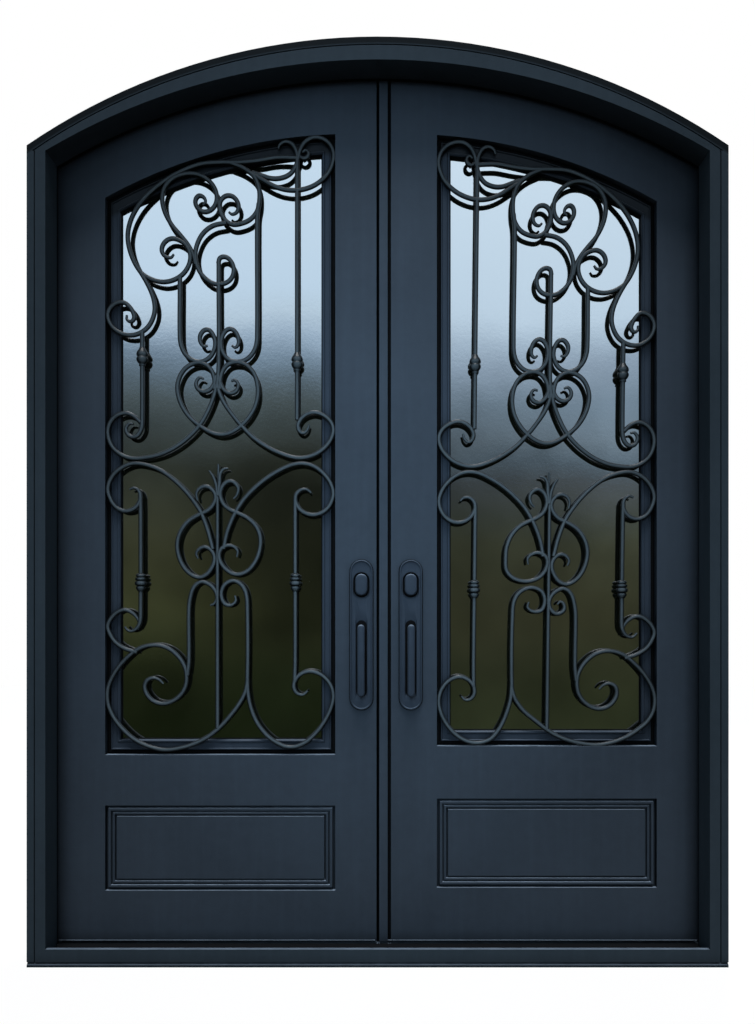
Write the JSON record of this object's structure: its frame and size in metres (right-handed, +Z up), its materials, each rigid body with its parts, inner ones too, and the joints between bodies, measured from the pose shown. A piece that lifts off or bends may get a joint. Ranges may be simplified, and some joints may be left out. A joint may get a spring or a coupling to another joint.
{
  "type": "arched wrought iron double door",
  "caption": "Arched double entry door in a steel frame, with scrolled iron grilles over tall glass, flat kick panels and pull handles; both leaves swing inward.",
  "frame": {"origin": "middle of the threshold's underside, where the frame rests on the floor", "axes": "+X to the right seen from outside, +Y into the building, +Z up"},
  "size_m": [1.84, 0.2, 2.44],
  "materials": {
    "frame_paint": "satin",
    "leaf_paint": "satin",
    "sash_paint": "satin",
    "grille_paint": "satin",
    "handle_iron": "satin",
    "hinge_steel": "satin",
    "seal_rubber": "matte",
    "door_glass": "obscure"
  },
  "bodies": {
    "frame": {"left_jamb": "frame_paint", "right_jamb": "frame_paint", "head_arch": "frame_paint", "threshold": "frame_paint", "weather_seal": "seal_rubber", "left_hinge_barrels": "hinge_steel", "right_hinge_barrels": "hinge_steel"},
    "left_leaf": {"left_hinge_stile": "leaf_paint", "left_lock_stile": "leaf_paint", "left_top_rail": "leaf_paint", "left_lower_rails": "leaf_paint", "left_kick_panel": "leaf_paint", "left_kick_mouldings": "leaf_paint", "left_sash": "sash_paint", "left_glass": "door_glass", "left_upper_grille": "grille_paint", "left_lower_grille": "grille_paint", "left_handle_plates": "handle_iron", "left_pulls": "handle_iron", "left_lock_covers": "handle_iron", "left_leaf_hinges": "hinge_steel"},
    "right_leaf": {"right_hinge_stile": "leaf_paint", "right_lock_stile": "leaf_paint", "right_top_rail": "leaf_paint", "right_lower_rails": "leaf_paint", "right_kick_panel": "leaf_paint", "right_kick_mouldings": "leaf_paint", "right_sash": "sash_paint", "right_glass": "door_glass", "right_upper_grille": "grille_paint", "right_lower_grille": "grille_paint", "right_handle_plates": "handle_iron", "right_pulls": "handle_iron", "right_lock_covers": "handle_iron", "right_leaf_hinges": "hinge_steel", "astragal": "leaf_paint"}
  },
  "joints": [
    {"name": "left_swing", "type": "hinge", "parent": "frame", "child": "left_leaf", "pos_m": [-0.882, 0.086, 0], "axis": [0, 0, 1], "range_deg": [0, 100]},
    {"name": "right_swing", "type": "hinge", "parent": "frame", "child": "right_leaf", "pos_m": [0.882, 0.086, 0], "axis": [0, 0, -1], "range_deg": [0, 100]}
  ]
}
